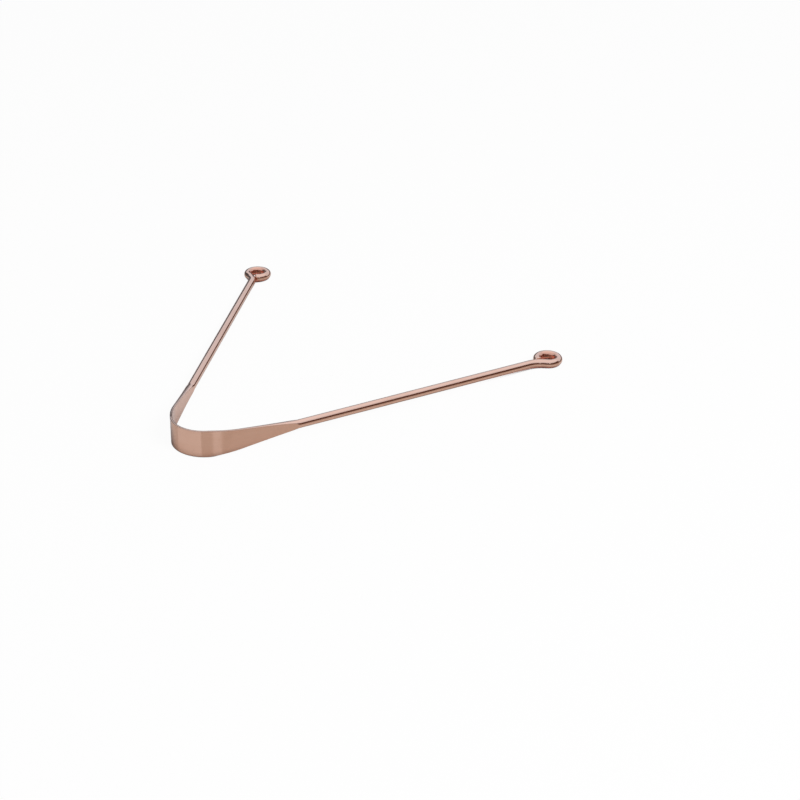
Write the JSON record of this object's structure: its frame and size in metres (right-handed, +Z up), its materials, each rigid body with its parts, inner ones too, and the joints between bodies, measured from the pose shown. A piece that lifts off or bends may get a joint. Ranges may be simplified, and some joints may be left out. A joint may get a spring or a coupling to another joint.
{
  "type": "tongue scraper",
  "caption": "Copper tongue scraper: a rod flattened and bent into a V-shaped scraping blade, with straight springy handles that end in small curled eyes.",
  "frame": {"origin": "middle of the footprint, on the surface that the scraper lies on", "axes": "+Z up, +Y from the blade towards the open ends of the handles, +X towards the right handle's eye"},
  "size_m": [0.1458, 0.1312, 0.0099],
  "materials": {
    "copper": "polished copper with a fine drawn grain, bright but a little soft"
  },
  "bodies": {
    "blade": {"scraping_blade": "copper"},
    "left_handle": {"left_arm": "copper", "left_eye": "copper"},
    "right_handle": {"right_arm": "copper", "right_eye": "copper"}
  },
  "joints": [
    {"name": "left_handle_flex", "type": "hinge", "parent": "blade", "child": "left_handle", "pos_m": [-0.00842, -0.06159, 0.0049], "axis": [0, -0.027, -0.9996], "range_deg": [-8, 8], "stiffness_Nm_per_rad": 1.49},
    {"name": "right_handle_flex", "type": "hinge", "parent": "blade", "child": "right_handle", "pos_m": [0.00842, -0.06159, 0.0049], "axis": [0, 0.027, 0.9996], "range_deg": [-8, 8], "stiffness_Nm_per_rad": 1.49}
  ]
}
